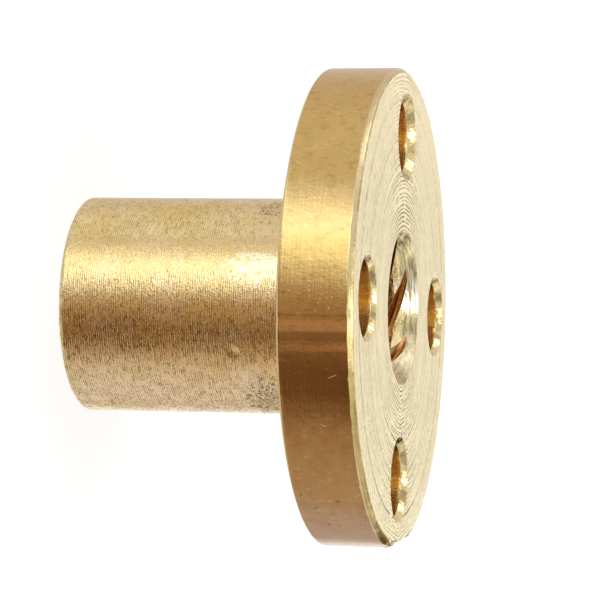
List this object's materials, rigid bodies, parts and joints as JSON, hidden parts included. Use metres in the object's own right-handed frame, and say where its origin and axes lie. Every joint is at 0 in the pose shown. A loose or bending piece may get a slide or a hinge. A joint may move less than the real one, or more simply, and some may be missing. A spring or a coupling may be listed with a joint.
{
  "type": "flanged lead screw nut",
  "caption": "Brass lead screw nut: round flange with countersunk screw holes, plain barrel and a right-hand multi-start trapezoidal thread.",
  "frame": {"origin": "on the bore axis, in the plane of the flange's seating face (its barrel side)", "axes": "+Z along the bore axis, out of the countersunk front face; the barrel hangs along -Z and its free end is the base; +X and +Y through the middles of screw holes"},
  "size_m": [0.022, 0.022, 0.0149],
  "materials": {
    "nut": "satin"
  },
  "bodies": {
    "root": {"nut": "nut"}
  },
  "joints": []
}
